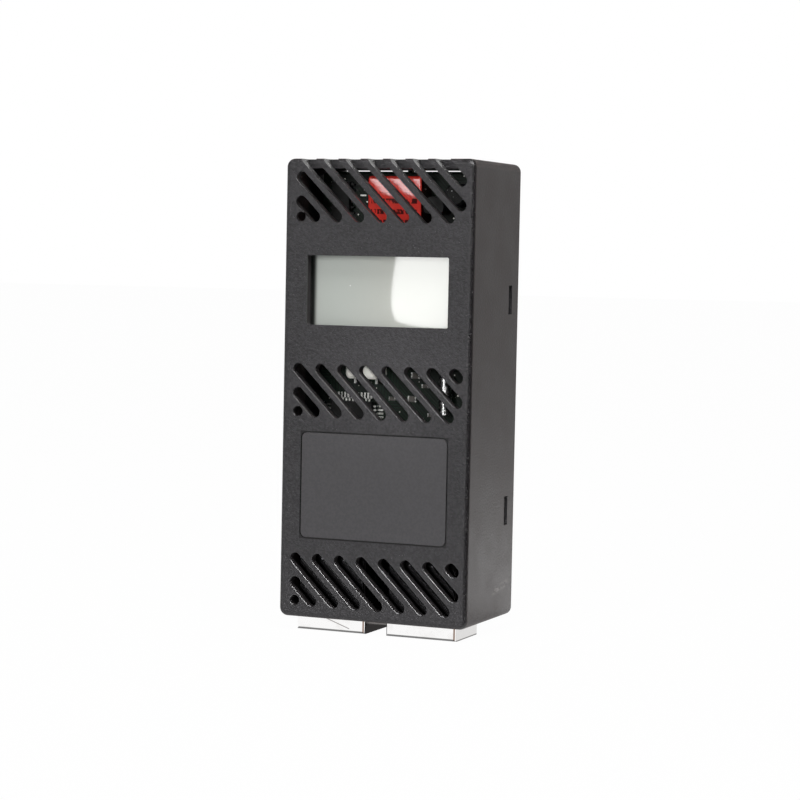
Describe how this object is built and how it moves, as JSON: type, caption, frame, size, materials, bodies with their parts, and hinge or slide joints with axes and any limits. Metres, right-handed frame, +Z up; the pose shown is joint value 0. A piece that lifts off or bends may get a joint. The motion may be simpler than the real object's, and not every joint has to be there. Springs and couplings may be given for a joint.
{
  "type": "rack temperature sensor",
  "caption": "Slim upright sensor box with a small display, slanted vent slots on the front and top, shielded network jacks in its base and keyholes in the back.",
  "frame": {"origin": "middle of the footprint, level with the ends of the two jacks", "axes": "+Z up, -Y out of the front face with the display, +X to the right seen from the front"},
  "size_m": [0.044, 0.0274, 0.1025],
  "materials": {
    "housing_plastic": "fine spark-eroded grain",
    "cover_plastic": "fine spark-eroded grain",
    "label_film": "smooth satin",
    "foam": "matt foam",
    "display_film": "glossy film",
    "display_glass": "polished",
    "reflector_film": "pale grey green",
    "board_laminate": "solder resist",
    "screw_steel": "zinc plated",
    "tinned_metal": "tinned",
    "red_plastic": "moulded gloss",
    "white_plastic": "moulded",
    "can_metal": "drawn can",
    "sleeve_plastic": "shrunk sleeve",
    "chip_plastic": "moulded epoxy",
    "shield_metal": "bright tin plate",
    "socket_plastic": "moulded",
    "contact_gold": "gold plated",
    "chip_ceramic": "fired ceramic"
  },
  "bodies": {
    "root": {"board_screws": "screw_steel", "box_capacitor": "red_plastic", "box_capacitor_wires": "tinned_metal", "chip_capacitor_a": "chip_ceramic", "chip_capacitor_b": "chip_ceramic", "chip_resistor_a": "chip_ceramic", "chip_resistor_b": "chip_ceramic", "chip_resistor_c": "chip_ceramic", "circuit_board": "board_laminate", "crystal_can": "can_metal", "display_front_film": "display_film", "display_front_glass": "display_glass", "display_gasket": "foam", "display_pins_lower": "tinned_metal", "display_pins_upper": "tinned_metal", "display_rear_glass": "display_glass", "display_reflector": "reflector_film", "electrolytic_capacitor": "sleeve_plastic", "front_housing": "housing_plastic", "humidity_sensor": "white_plastic", "humidity_sensor_pins": "tinned_metal", "label_panel": "label_film", "left_jack_body": "socket_plastic", "left_jack_contacts": "contact_gold", "left_jack_shield": "shield_metal", "microcontroller": "chip_plastic", "microcontroller_leads": "tinned_metal", "rear_cover": "cover_plastic", "right_jack_body": "socket_plastic", "right_jack_contacts": "contact_gold", "right_jack_shield": "shield_metal", "sensor_amplifier": "chip_plastic", "sensor_amplifier_leads": "tinned_metal", "temperature_sensor": "chip_plastic", "temperature_sensor_leads": "tinned_metal"}
  },
  "joints": []
}
